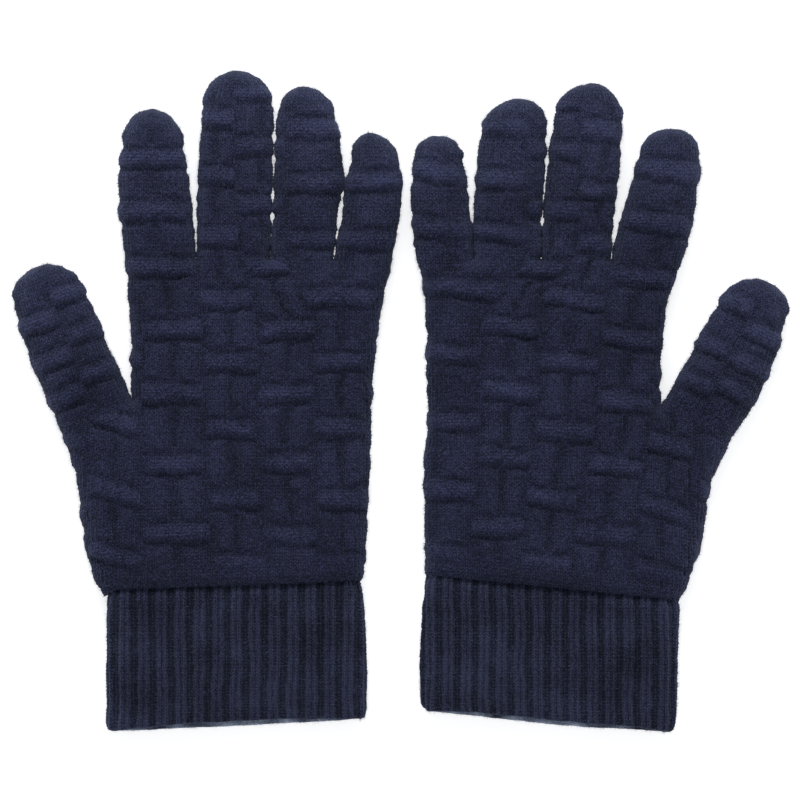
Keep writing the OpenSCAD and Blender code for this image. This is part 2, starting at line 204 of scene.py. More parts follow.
# ----------------------------------------------------------------------------
# The knit: heights of the basket weave, of the ribs and of each stitch
# ----------------------------------------------------------------------------
def weave(x, y, blocks):
    """Height of the basket weave in mm, and how far a point is on a raised bar."""
    h = np.zeros(np.shape(x))
    on = np.zeros(np.shape(x))
    wob_y = y + 0.9 * noise(x, y, 14, 1) + 0.5 * noise(x, y, 4.5, 2) + 0.45 * noise(x, y, 1.9, 5)
    wob_x = x + 0.8 * noise(x, y, 12, 3) + 0.9 * noise(x, y, 3.2, 6)
    for left, right, bars, lean, x_at in blocks:
        bl = spline([r[0] for r in left], [r[1] for r in left])(y)
        br = spline([r[0] for r in right], [r[1] for r in right])(y)
        w = np.maximum(br - bl, 0.5)
        t = (wob_x - bl) / w
        inside = (x >= bl) & (x < br)
        if not inside.any():
            continue
        yy = wob_y + lean * (x - x_at)
        g = np.full(np.shape(x), 99.0)
        for b in bars:
            k = b - yy
            g = np.where(np.abs(k) < np.abs(g), k, g)
        ends = smooth(-0.06, 0.14, t) * smooth(-0.06, 0.14, 1 - t)
        ends_wide = smooth(-0.08, 0.08, t) * smooth(-0.08, 0.08, 1 - t)
        vary = 1 + 0.35 * noise(x, y, 8, 7) + 0.25 * noise(x, y, 2.5, 3)
        bar = np.exp(-(np.abs(g) / 2.7) ** 2.4)
        bar_h = 0.95 * bar * ends * vary
        low_h = -0.82 * np.exp(-((g - 4.1) / 1.45) ** 2) * ends_wide * vary
        up_h = -0.40 * np.exp(-((g + 4.0) / 1.2) ** 2) * ends_wide
        block = smooth(4.6, 6.6, np.abs(g))
        ribs = (0.5 * (np.exp(-((t - 0.27) / 0.14) ** 2) + np.exp(-((t - 0.73) / 0.14) ** 2))
                - 0.75 * np.exp(-((t - 0.5) / 0.10) ** 2)) * smooth(9, 15, w)
        edge = -0.35 * (np.exp(-(t / 0.06) ** 2) + np.exp(-((1 - t) / 0.06) ** 2)) * block
        h = np.where(inside, bar_h + low_h + up_h + ribs * block * (1.1 - 0.4 * noise(x, y, 10, 0)) + edge, h)
        on = np.where(inside, bar * ends, on)
    return h, on


def stitches(s, c, on):
    """Height of the single stitches: a column of Vs, and rounder knots on the raised bars."""
    u = np.abs((s / WALE) % 1 - 0.5) * 2
    v = c / COURSE
    wale = 0.33 * (np.cos(np.pi * u / 2) ** 1.3 - 0.5)
    vee = 0.10 * np.cos(2 * np.pi * (v + 0.55 * u))
    knot = 0.02 * np.cos(2 * np.pi * v) + 0.07 * np.cos(2 * np.pi * (s / WALE + 0.5 * np.floor(v)))
    uneven = 0.8 + 0.6 * noise(s, c, 7, 4)
    nub = 0.15 * noise(s, c, 1.5, 1) + 0.15 * noise(s, c, 0.75, 2)
    return ((wale + vee) * (1 - 0.7 * on) + knot * on) * uneven + nub


# ----------------------------------------------------------------------------
# Meshes from grids
# ----------------------------------------------------------------------------
FLAT_TOP = 0.975   # the flat map of a piece ends here; its fibres have the strip above


def loose_fibres(points, quads, seed, density, rim):
    """Thin closed spikes standing on the knit: short straight ones round its sides, or bent ones on top. Returns points, quads, tris, attrs and flat map."""
    rng = np.random.RandomState(seed)
    a, b, c, d = (points[quads[:, i]] for i in range(4))
    nrm = np.cross(c - a, d - b)
    size = np.linalg.norm(nrm, axis=1)
    nrm = nrm / np.maximum(size, 1e-9)[:, None]
    mid = (a + b + c + d) / 4
    dens = density * (1 + 0.7 * noise(mid[:, 0], mid[:, 1], 5, 4))
    wanted = (nrm[:, 2] > -0.35) & (nrm[:, 2] < 0.8) if rim else nrm[:, 2] >= 0.8
    dens = np.where(wanted & (mid[:, 2] > 1.0), dens, 0)
    k = np.flatnonzero(rng.rand(len(size)) < size / 2 * dens)
    m = len(k)
    n = nrm[k]
    t1, t2 = rng.rand(m, 1), rng.rand(m, 1)
    root = (a[k] * (1 - t1) + b[k] * t1) * (1 - t2) + (d[k] * (1 - t1) + c[k] * t1) * t2
    tang = rng.normal(size=(m, 3))
    tang -= (tang * n).sum(1, keepdims=True) * n
    tang /= np.maximum(np.linalg.norm(tang, axis=1, keepdims=True), 1e-6)
    lean = np.radians(rng.uniform(5 if rim else 25, 75 if rim else 82, (m, 1)))
    d1 = n * np.cos(lean) + tang * np.sin(lean)
    d2 = d1 + 0.45 * rng.normal(size=(m, 3))
    d2 /= np.linalg.norm(d2, axis=1, keepdims=True)
    long = 0.55 + 1.45 * rng.rand(m, 1) ** 2
    thick = (0.052 if rim else 0.040) + 0.015 * rng.rand(m, 1)
    e1 = np.cross(n, tang)
    e2 = np.cross(d1, e1)
    p0 = root - 0.12 * n
    p1 = p0 + d1 * long * 0.55
    out = np.zeros((m, 4 if rim else 7, 3))
    for j in range(3):
        w = 2 * math.pi * j / 3
        ring = (e1 * math.cos(w) + e2 * math.sin(w)) * thick
        out[:, j] = p0 + ring
        if not rim:
            out[:, 3 + j] = p1 + 0.75 * ring
    out[:, -1] = p0 + d1 * long if rim else p1 + d2 * long * 0.45
    out[..., 2] = np.maximum(out[..., 2], 0.03)
    base = np.arange(m)[:, None] * out.shape[1]
    if rim:
        fq = np.zeros((0, 4), int)
        ft = np.concatenate([base + np.array(q) for q in ([0, 1, 3], [1, 2, 3], [2, 0, 3], [2, 1, 0])])
        low = np.array([0, 0.001, 0, 0.014])
    else:
        fq = np.concatenate([base + np.array(q) for q in ([0, 1, 4, 3], [1, 2, 5, 4], [2, 0, 3, 5])])
        ft = np.concatenate([base + np.array(q) for q in ([3, 4, 6], [4, 5, 6], [5, 3, 6], [2, 1, 0])])
        low = np.array([0, 0.001, 0, 0.006, 0.007, 0.006, 0.014])
    nv = out.shape[1]
    at = np.zeros((m, nv, 5))
    # painted light: these two values make the fibres' colour paler, as lit fuzz
    at[..., 3] = 0.75
    at[..., 4] = 1.05 + 0.6 * rng.rand(m, 1) ** 2
    flat = np.zeros((m, nv, 2))
    flat[..., 0] = 0.01 + 0.97 * rng.rand(m, 1) + 0.002 * (np.arange(nv) % 3)
    flat[..., 1] = 0.982 + low
    return out.reshape(-1, 3), fq, ft, at.reshape(-1, 5), flat.reshape(-1, 2)


def weld(points, quads, attrs):
    """Joins points that lie together, and drops quads that lose their area."""
    key = np.round(points * 2e3).astype(np.int64)
    _, first, back = np.unique(key, axis=0, return_index=True, return_inverse=True)
    back = back.reshape(-1)
    points, attrs = points[first], attrs[first]
    old = quads
    quads = back[quads]
    a, b, c, d = quads.T
    tri1 = (a == b) | (b == c)
    tri2 = (c == d) | (d == a)
    whole = ~(tri1 | tri2) & (a != c) & (b != d)
    one, two = tri1 & ~tri2, tri2 & ~tri1
    tris = np.concatenate([quads[one][:, [0, 2, 3]], quads[two][:, [0, 1, 2]]])
    old_t = np.concatenate([old[one][:, [0, 2, 3]], old[two][:, [0, 1, 2]]])
    good = (tris[:, 0] != tris[:, 1]) & (tris[:, 1] != tris[:, 2]) & (tris[:, 2] != tris[:, 0])
    return points, quads[whole], tris[good], attrs, old[whole], old_t[good]


def make_mesh(name, points, quads, attrs, material, flip=1, nap=(0.30, 2.3)):
    """points in mm, attrs: stitch column, stitch row, bar, relief (its colour paints highlight on raised knit and shade
    in the grooves), nap (its colour is paler: partly nap, partly painted light), and the place on the flat map.
    """
    flat = attrs[:, 5:7]
    seed = len(name) * 31 + sum(map(ord, name))
    fibres = [loose_fibres(points, quads, seed + i, nap[i], i == 1) for i in (0, 1)]
    points, quads, tris, attrs, old_q, old_t = weld(points, quads, attrs)
    attrs = attrs[:, :5]
    for hair, hq, ht, ha, hflat in fibres:
        n_p, n_f = len(points), len(flat)
        points, attrs = np.concatenate([points, hair]), np.concatenate([attrs, ha])
        quads, tris = np.concatenate([quads, hq + n_p]), np.concatenate([tris, ht + n_p])
        old_q, old_t = np.concatenate([old_q, hq + n_f]), np.concatenate([old_t, ht + n_f])
        flat = np.concatenate([flat, hflat])
    points[:, 0] *= flip
    if flip < 0:
        quads, tris, old_q, old_t = quads[:, ::-1], tris[:, ::-1], old_q[:, ::-1], old_t[:, ::-1]
    me = bpy.data.meshes.new(name)
    n_q, n_t = len(quads), len(tris)
    me.vertices.add(len(points))
    me.vertices.foreach_set("co", (points * 0.001).astype(np.float32).ravel())
    loops = np.concatenate([quads.ravel(), tris.ravel()]).astype(np.int32)
    me.loops.add(len(loops))
    me.loops.foreach_set("vertex_index", loops)
    me.polygons.add(n_q + n_t)
    starts = np.concatenate([np.arange(n_q) * 4, n_q * 4 + np.arange(n_t) * 3]).astype(np.int32)
    me.polygons.foreach_set("loop_start", starts)
    me.polygons.foreach_set("use_smooth", np.ones(n_q + n_t, bool))
    me.update(calc_edges=True)
    uv = me.uv_layers.new(name="OFBake")
    uv.data.foreach_set("uv", flat[np.concatenate([old_q.ravel(), old_t.ravel()])].astype(np.float32).ravel())
    at = me.attributes.new("knit", "FLOAT_VECTOR", "POINT")
    at.data.foreach_set("vector", attrs[:, :3].astype(np.float32).ravel())
    for i, word in ((3, "relief_shade"), (4, "nap")):
        at = me.attributes.new(word, "FLOAT", "POINT")
        at.data.foreach_set("value", attrs[:, i].astype(np.float32))
    me.materials.append(material)
    ob = bpy.data.objects.new(name, me)
    bpy.context.scene.collection.objects.link(ob)
    return ob


def grid_quads(rows, cols, start=0, wrap=False):
    i = np.arange(rows - 1)[:, None]
    j = np.arange(cols if wrap else cols - 1)[None, :]
    k = (j + 1) % cols
    a = start + i * cols + j
    b = start + i * cols + k
    c = start + (i + 1) * cols + k
    d = start + (i + 1) * cols + j
    return np.stack([a, b, c, d], -1).reshape(-1, 4)


def spread(n, width, radius, end_l=1.0, end_r=1.0):
    """n places across a row, close together where the surface turns down. Returns the offset from the left end and the arc length, as rows by n."""
    width, radius = np.asarray(width, float)[:, None], np.asarray(radius, float)[:, None]
    end_l = np.broadcast_to(np.asarray(end_l, float), width[:, 0].shape)[:, None]
    end_r = np.broadcast_to(np.asarray(end_r, float), width[:, 0].shape)[:, None]
    slack = radius * (math.pi / 2 - 1)
    total = width + (end_l + end_r) * slack
    a = np.linspace(0, 1, n)[None, :] * total

    def late(a):
        q = np.clip(a / np.maximum(radius, 1e-6), 0, math.pi / 2)
        return radius * (q - (1 - np.cos(q)))

    off = a - end_l * late(a) - end_r * (slack - late(total - a))
    return np.clip(off, 0, width), a - end_l * slack, total


def both_sides(x, y, d, gx, gy, half, crown, h, edge_l, edge_r):
    """Top and bottom sheets from the distance to the outline. Returns two arrays rows x cols x 3."""
    q = np.clip(d / half, 0, 1)
    p = np.sqrt(np.clip(1 - (1 - q) ** 2, 0, 1))
    nx, ny = -(1 - q) * gx, -(1 - q) * gy
    top = np.stack([x + nx * h, y + ny * h, half + half * p + crown * p + p * h], -1)
    hb = h - 1.25 * p * p
    bot = np.stack([x + nx * hb, y + ny * hb, half - half * p - p * hb], -1)
    return top, bot


# ----------------------------------------------------------------------------
# Materials: brushed wool knit
# ----------------------------------------------------------------------------
class Nodes:
    def __init__(self, name):
        self.mat = bpy.data.materials.new(name)
        self.mat.use_nodes = True
        self.tree = self.mat.node_tree
        self.tree.nodes.clear()

    def new(self, kind, **set_):
        n = self.tree.nodes.new(kind)
        for k, v in set_.items():
            setattr(n, k, v)
        return n

    def link(self, a, b):
        self.tree.links.new(a, b)

    def math(self, op, a, b=None, c=None, clamp=False):
        n = self.new("ShaderNodeMath", operation=op, use_clamp=clamp)
        for i, v in enumerate((a, b, c)):
            if v is None:
                continue
            if isinstance(v, (int, float)):
                n.inputs[i].default_value = v
            else:
                self.link(v, n.inputs[i])
        return n.outputs[0]

    def noise(self, vec, scale, detail=3, rough=0.6):
        n = self.new("ShaderNodeTexNoise")
        n.inputs["Scale"].default_value = scale
        n.inputs["Detail"].default_value = detail
        n.inputs["Roughness"].default_value = rough
        self.link(vec, n.inputs["Vector"])
        return n.outputs["Fac"]


def knit_material(name, dark, mid, light, stitch_shade_w=0.40, painted_shade_w=0.32, grain_w=1.75, patch_w=0.6, base=0.085, sheen=0.33):
    m = Nodes(name)
    knit = m.new("ShaderNodeAttribute", attribute_name="knit")
    height_shade = m.new("ShaderNodeAttribute", attribute_name="relief_shade").outputs["Fac"]
    nap = m.new("ShaderNodeAttribute", attribute_name="nap").outputs["Fac"]
    sep = m.new("ShaderNodeSeparateXYZ")
    m.link(knit.outputs["Vector"], sep.inputs[0])
    s, c, on = sep.outputs
    pos = m.new("ShaderNodeTexCoord").outputs["Object"]

    # the yarn: V stitches in columns, and short bumps across on the raised bars
    fuzz = m.noise(pos, 900, 4, 0.7)
    jit = m.math("MULTIPLY", m.math("SUBTRACT", m.noise(pos, 420, 2), 0.5), 0.5)
    su = m.math("ADD", m.math("DIVIDE", s, WALE), jit)
    u = m.math("MULTIPLY", m.math("ABSOLUTE", m.math("SUBTRACT", m.math("FRACT", su), 0.5)), 2.0)
    v = m.math("ADD", m.math("DIVIDE", c, COURSE), jit)
    leg = m.math("POWER", m.math("SINE", m.math("MULTIPLY", m.math("ADD", m.math("MULTIPLY", u, 0.9), 0.05), math.pi), clamp=True), 0.7)
    vv = m.math("ADD", v, m.math("MULTIPLY", u, 0.75))
    yarn = m.math("POWER", m.math("ABSOLUTE", m.math("SINE", m.math("MULTIPLY", vv, math.pi))), 0.8)
    vee = m.math("MULTIPLY", leg, yarn)
    off = m.math("MULTIPLY", m.math("FLOOR", m.math("ADD", v, 0.5)), 0.5)
    ku = m.math("ABSOLUTE", m.math("SINE", m.math("MULTIPLY", m.math("ADD", su, off), math.pi)))
    kv = m.math("ABSOLUTE", m.math("COSINE", m.math("MULTIPLY", m.math("ADD", v, m.math("MULTIPLY", jit, 2.5)), math.pi)))
    knot = m.math("MULTIPLY", m.math("POWER", kv, 0.7), m.math("ADD", m.math("MULTIPLY", ku, 0.6), 0.4))
    mix = m.new("ShaderNodeMix", data_type="FLOAT")
    m.link(m.math("MULTIPLY", on, 0.75, clamp=True), mix.inputs[0])
    m.link(vee, mix.inputs[2])
    m.link(knot, mix.inputs[3])
    stitch = mix.outputs[0]

    fibre = m.noise(pos, 2600, 3, 0.75)
    height = m.math("ADD", m.math("MULTIPLY", stitch, 0.85),
                    m.math("ADD", m.math("MULTIPLY", fuzz, 0.9), m.math("MULTIPLY", fibre, 0.45)))

    # colour: deep navy, with painted highlight on the raised yarn, bars and ribs and painted shade in the gaps and
    # grooves; paler where the nap value is higher, partly nap and partly painted light
    patch = m.noise(pos, 55, 3, 0.55)
    lint = m.noise(pos, 1150, 4, 0.8)
    grain = m.noise(pos, 2300, 2, 0.6)
    # painted highlight and shade: the stitch and relief heights lighten what stands up and darken the gaps and grooves
    tone = m.math("ADD", m.math("MULTIPLY", stitch, stitch_shade_w), m.math("MULTIPLY", height_shade, painted_shade_w))
    tone = m.math("ADD", tone, m.math("MULTIPLY", m.math("SUBTRACT", lint, 0.5), grain_w))
    tone = m.math("ADD", tone, m.math("MULTIPLY", m.math("SUBTRACT", grain, 0.5), grain_w))
    tone = m.math("ADD", tone, m.math("MULTIPLY", m.math("SUBTRACT", patch, 0.5), patch_w))
    # paler where the nap value is higher: on the finger ends partly nap and partly painted light, on the fibres and the
    # cast-on edge painted light
    tone = m.math("ADD", tone, m.math("MULTIPLY", nap, 0.14))
    tone = m.math("ADD", tone, base, clamp=True)
    ramp = m.new("ShaderNodeValToRGB")
    ramp.color_ramp.elements[0].position = 0.0
    ramp.color_ramp.elements[0].color = (*dark, 1)
    ramp.color_ramp.elements[1].position = 1.0
    ramp.color_ramp.elements[1].color = (*light, 1)
    e = ramp.color_ramp.elements.new(0.45)
    e.color = (*mid, 1)
    m.link(tone, ramp.inputs[0])

    bump = m.new("ShaderNodeBump")
    bump.inputs["Strength"].default_value = 1.0
    bump.inputs["Distance"].default_value = 0.00040
    m.link(height, bump.inputs["Height"])

    bsdf = m.new("ShaderNodeBsdfPrincipled")
    bsdf.inputs["Roughness"].default_value = 0.95
    bsdf.inputs["Specular IOR Level"].default_value = 0.30
    bsdf.inputs["Sheen Weight"].default_value = sheen
    bsdf.inputs["Sheen Roughness"].default_value = 0.35
    bsdf.inputs["Sheen Tint"].default_value = (0.45, 0.55, 0.85, 1)
    painted_light_mix = m.new("ShaderNodeMix", data_type="RGBA")     # loose fibres and the edge of the cuff are mixed towards pale blue: painted light, a backlit glow on the cast-on edge and lit fuzz on the fibres
    painted_light_amount = m.math("MULTIPLY", m.math("SUBTRACT", nap, 1.0), m.math("MULTIPLY", m.math("ADD", lint, 0.0), 1.0))
    m.link(m.math("MULTIPLY", painted_light_amount, 1.0, clamp=True), painted_light_mix.inputs[0])
    m.link(ramp.outputs["Color"], painted_light_mix.inputs[6])
    painted_light_mix.inputs[7].default_value = (0.58, 0.68, 0.86, 1)
    m.link(painted_light_mix.outputs[2], bsdf.inputs["Base Color"])
    m.link(bump.outputs["Normal"], bsdf.inputs["Normal"])
    out = m.new("ShaderNodeOutputMaterial")
    m.link(bsdf.outputs[0], out.inputs["Surface"])
    return m.mat


MAT_HAND = knit_material("wool_hand", (0.0040, 0.0056, 0.0130), (0.0175, 0.0212, 0.0512), (0.073, 0.081, 0.184))
# lighter copy of the hand's colours for the finger ends: partly nap, partly painted light
MAT_TIP_NAP_AND_LIGHT = knit_material("wool_tip_nap_and_light", (0.0048, 0.0065, 0.0145), (0.0200, 0.0238, 0.0560), (0.080, 0.088, 0.193))
# darker copy for the cuff, its base set lower than the hand's: painted shade on the cuff end, which lies away from the
# key light
MAT_CUFF = knit_material("wool_cuff", (0.0036, 0.0051, 0.0122), (0.0166, 0.0199, 0.0462), (0.074, 0.085, 0.172), stitch_shade_w=0.56, painted_shade_w=0.50, grain_w=1.45, patch_w=1.1, base=-0.02)


# ----------------------------------------------------------------------------
# A finger or a thumb: a tube on its own outline, closed at the tip
# ----------------------------------------------------------------------------
def finger_grid(rows, tip, y0, y1, n, blocks, flip, to_world=None, half0=HAND_H, own_frame=False):
    """Points of the tube between y0 and y1 (y1 None: to the tip)."""
    fl = spline([r[0] for r in rows], [r[1] for r in rows])
    fr = spline([r[0] for r in rows], [r[2] for r in rows])
    y_last = rows[-1][0]
    x_tip, y_tip = tip
    length = y_tip - y_last
    hw_last = (rows[-1][2] - rows[-1][1]) / 2
    xc_last = (rows[-1][2] + rows[-1][1]) / 2
    power = 2.05
    if y1 is None:
        body = np.linspace(y0, y_tip - FING_H, max(4, int(round((y_tip - FING_H - y0) / DY))), endpoint=False)
        cap = y_tip - FING_H + FING_H * np.sin(np.linspace(0, math.pi / 2, int(round(FING_H * 1.57 / DY))))
        ys = np.concatenate([body, cap])
    else:
        ys = np.linspace(y0, y1, int(round((y1 - y0) / DY)) + 1)
    k = np.clip((ys - y_last) / length, 0, 1)
    shrink = (1 - k**power) ** (1 / power)
    xc = np.where(ys > y_last, xc_last + (x_tip - xc_last) * k, (fl(ys) + fr(ys)) / 2)
    hw = np.where(ys > y_last, hw_last * shrink, (fr(ys) - fl(ys)) / 2)
    half = HAND_H + (FING_H - HAND_H) * smooth(rows[0][0], rows[0][0] + 12, ys)
    radius = np.minimum(half, hw)
    off, arc, total = spread(n, 2 * hw, radius)
    x = (xc - hw)[:, None] + off
    y = np.repeat(ys[:, None], n, 1)
    halfg = np.repeat(half[:, None], n, 1)
    # distance to the outline, and its direction
    xx = x - xc[:, None]
    al, ar = slope(fl, ys), slope(fr, ys)
    cl, cr = 1 / np.sqrt(1 + al**2), 1 / np.sqrt(1 + ar**2)
    dl = (xx + hw[:, None]) * cl[:, None]
    dr = (hw[:, None] - xx) * cr[:, None]
    left = dl < dr
    d = np.where(left, dl, dr)
    gx = np.where(left, cl[:, None], -cr[:, None])
    gy = np.where(left, (-al * cl)[:, None], (ar * cr)[:, None])
    in_cap = (ys > y_last)[:, None] & np.ones((1, n), bool)
    ax, ay = np.abs(xx) / hw_last, np.clip((y - y_last) / length, 1e-6, 1)
    rho = np.maximum((ax**power + ay**power) ** (1 / power), 1e-6)
    dx_ = rho ** (1 - power) * ax ** (power - 1) / hw_last * np.sign(xx)
    dy_ = rho ** (1 - power) * ay ** (power - 1) / length
    grad = np.maximum(np.sqrt(dx_**2 + dy_**2), 1e-6)
    d_cap = np.clip((1 - rho), 0, None) / grad
    d = np.where(in_cap, d_cap, d)
    gx = np.where(in_cap, -dx_ / grad, gx)
    gy = np.where(in_cap, -dy_ / grad, gy)
    d[:, 0] = 0
    d[:, -1] = 0
    crown = 1.3 * smooth(rows[0][0], rows[0][0] + 16, y) * smooth(1, 11, d)
    a0 = total[np.argmin(np.abs(ys - rows[0][0]))] if y0 <= rows[0][0] + 1 else (rows[0][2] - rows[0][1]) + 1.14159 * HAND_H
    s0 = (rows[0][1] + rows[0][2]) / 2
    s = np.linspace(-0.5, 0.5, n)[None, :] * np.asarray(a0).reshape(-1)[0] + s0
    s = np.repeat(s, len(ys), 0)
    wx = x if own_frame else flip * x
    meso, on = weave(wx, y, blocks)
    plain = smooth(y_tip - 5, y_tip - 11, y)
    if own_frame:
        plain = plain * smooth(0, 5, y)
    meso, on = meso * plain, on * plain
    squeeze = smooth(0.5, 0.92, (total / a0))
    lump = 0.35 * noise(wx, y, 11, 5) + 0.18 * noise(wx, y, 4, 6) + 0.34 * noise(wx, y, 2.4, 0) * smooth(3.5, 0, d)
    fine = stitches(flip * s if not own_frame else s, y, on)
    fine = fine * squeeze
    if own_frame:
        fine = fine * smooth(0, 1.5, y)
    h = meso * (0.5 + 0.5 * smooth(0, 5, d)) + lump * smooth(rows[0][0], rows[0][0] + 5, y) + fine
    top, bot = both_sides(x, y, d, gx, gy, halfg, crown, h, 1, 1)
    bot[..., 2] = np.maximum(bot[..., 2], 0.02)
    # paler towards the tip: partly nap, partly painted light on the finger ends
    nap = smooth(y_tip - 42, y_tip - 12, y)
    # the fourth value paints highlight on the raised bars and shade in the grooves
    attrs = np.stack([flip * s if not own_frame else s, y, on, 0.5 + 0.45 * meso, nap], -1)
    return top, bot, attrs, ys


def flat_map(rows, cols, box=(0, 0, 1, 1)):
    u = box[0] + (box[2] - box[0]) * np.linspace(0.004, 0.996, cols)[None, :] + np.zeros((rows, 1))
    v = box[1] + (box[3] - box[1]) * np.linspace(0.004, 0.996, rows)[:, None] + np.zeros((1, cols))
    return np.stack([u, v * FLAT_TOP], -1)


def tube_points(top, bot, attrs, box=(0, 0, 1, 1)):
    rows, n, _ = top.shape
    ring = np.concatenate([top, bot[:, ::-1]], 1)
    ring_a = np.concatenate([attrs, attrs[:, ::-1]], 1)
    ring_a = np.concatenate([ring_a, flat_map(rows, 2 * n, box)], -1)
    quads = grid_quads(rows, 2 * n)
    return ring.reshape(-1, 3), quads, ring_a.reshape(-1, ring_a.shape[-1])


def make_fingers(side, G):
    flip = G["flip"]
    for name, (rows, tip, mid) in G["fingers"].items():
        n = int(round((rows[0][2] - rows[0][1] + 7) / DX)) + 1
        for part, y0, y1 in (("root", 53.4, None), ("end", None, None)):
            zone = 9.0 if name != "little" else 8.8
            split = mid - zone - 2.0
            split = 67.5 if name == "little" else min(split, 71.0 if name == "index" else 74.0)
            if side == "right" and name == "index":
                split = 68.6
            if part == "root":
                a, b = 53.4, split + 0.6
            else:
                a, b = split, None
            top, bot, attrs, ys = finger_grid(rows, tip, a, b, n, BLOCKS[side], flip)
            p, q, at = tube_points(top, bot, attrs)
            ob = make_mesh(f"{side}_{name}_{part}", p, q, at, MAT_HAND if part == "root" else MAT_TIP_GRAD, flip)
            if part == "root":
                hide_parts(f"{side}_{name}_finger")
                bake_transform(ob)
            else:
                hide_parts(f"{side}_{name}_tip")
                zone = min(9.0, mid - split - 1.0)
                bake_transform(ob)


def make_thumb(side, G):
    flip = G["flip"]
    rows, tip, mid = G["thumb"]
    rx, ry, ang, half = G["root"]
    ca, sa = math.cos(math.radians(ang)), math.sin(math.radians(ang))
    n = int(round((rows[0][2] - rows[0][1] + 7) / DX)) + 1
    split = 16.5
    for part in ("root", "end"):
        a, b = (-0.5, split + 0.6) if part == "root" else (split, None)
        blocks = THUMB_BLOCKS[side]
        top, bot, attrs, ys = finger_grid(rows, tip, a, b, n, blocks, flip, own_frame=True)
        p, q, at = tube_points(top, bot, attrs)
        w = p.copy()
        w[:, 0] = rx + p[:, 0] * ca - p[:, 1] * sa
        w[:, 1] = ry + p[:, 0] * sa + p[:, 1] * ca
        ob = make_mesh(f"{side}_thumb_{part}_piece", w, q, at, MAT_HAND if part == "root" else MAT_TIP_GRAD, flip)

        if part == "root":
            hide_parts(f"{side}_thumb")
            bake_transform(ob)
        else:
            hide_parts(f"{side}_thumb_tip")
            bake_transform(ob)


# ----------------------------------------------------------------------------
# The hand: palm and back on the outline, with the thumb gusset
# ----------------------------------------------------------------------------
def hand_fields(side, G, x, y):
    """Distance to the outline and its direction for points of the hand."""
    inner = spline([r[0] for r in G["inner"]], [r[1] for r in G["inner"]])
    outer = spline([r[0] for r in G["outer"]], [r[1] for r in G["outer"]])
    right = spline([r[0] for r in G["right"]], [r[1] for r in G["right"]])
    cx, cy = G["crotch"]
    d = np.full(x.shape, 99.0)
    gx, gy = np.zeros(x.shape), np.ones(x.shape)

    def take(dn, ux, uy):
        nonlocal d, gx, gy
        m = dn < d
        d = np.where(m, dn, d)
        gx = np.where(m, ux, gx)
        gy = np.where(m, uy, gy)

    a = slope(right, y)
    c = 1 / np.sqrt(1 + a * a)
    take((right(y) - x) * c, -c, a * c)
    a = slope(inner, y)
    c = 1 / np.sqrt(1 + a * a)
    take(np.where(y >= cy, (x - inner(y)) * c, 99), c, -a * c)
    a = slope(outer, y)
    c = 1 / np.sqrt(1 + a * a)
    take(np.where(y < cy + 4, (x - outer(y)) * c, 99), c, -a * c)
    r = np.hypot(x - cx, y - cy)
    take(np.where(y < cy, r, 99), (x - cx) / np.maximum(r, 1e-6), (y - cy) / np.maximum(r, 1e-6))
    for k in G["crotches"]:
        yk = 54.0
        r = np.hypot(x - k, np.minimum(y - yk, 0))
        take(r, (x - k) / np.maximum(r, 1e-6), np.minimum(y - yk, 0) / np.maximum(r, 1e-6))
    return np.clip(d, 0, None), gx, gy


def hand_height(side, G, x, y, s, d, row_drop, root_d):
    flip = G["flip"]
    wx = flip * x
    meso, on = weave(wx, y, BLOCKS[side])
    y_low = G["low"][0]
    over = y - (y_low + row_drop)          # height above the crease
    plain = smooth(2.0, 12.0, over) * smooth(0, 5, root_d)
    meso = meso * plain
    on = on * plain
    lump = 0.45 * noise(wx, y, 17, 5) + 0.22 * noise(wx, y, 5.5, 6) + 0.30 * noise(wx, y, 2.6, 0) * smooth(3.5, 0, d)
    lump = lump * smooth(54, 49, y) * smooth(0, 5, root_d)
    fine = stitches(flip * s, y, on) * smooth(0, 1.5, root_d)
    roll = 0.5 * np.exp(-((over - 3.6) / 2.4) ** 2) - 1.35 * np.exp(-(np.maximum(over, 0) / 1.6) ** 2) * (0.25 + 0.75 * smooth(0, 4, d))
    h = meso * (0.5 + 0.5 * smooth(0, 5, d)) + lump * smooth(0.5, 5, over) + fine + roll
    return h, on, meso


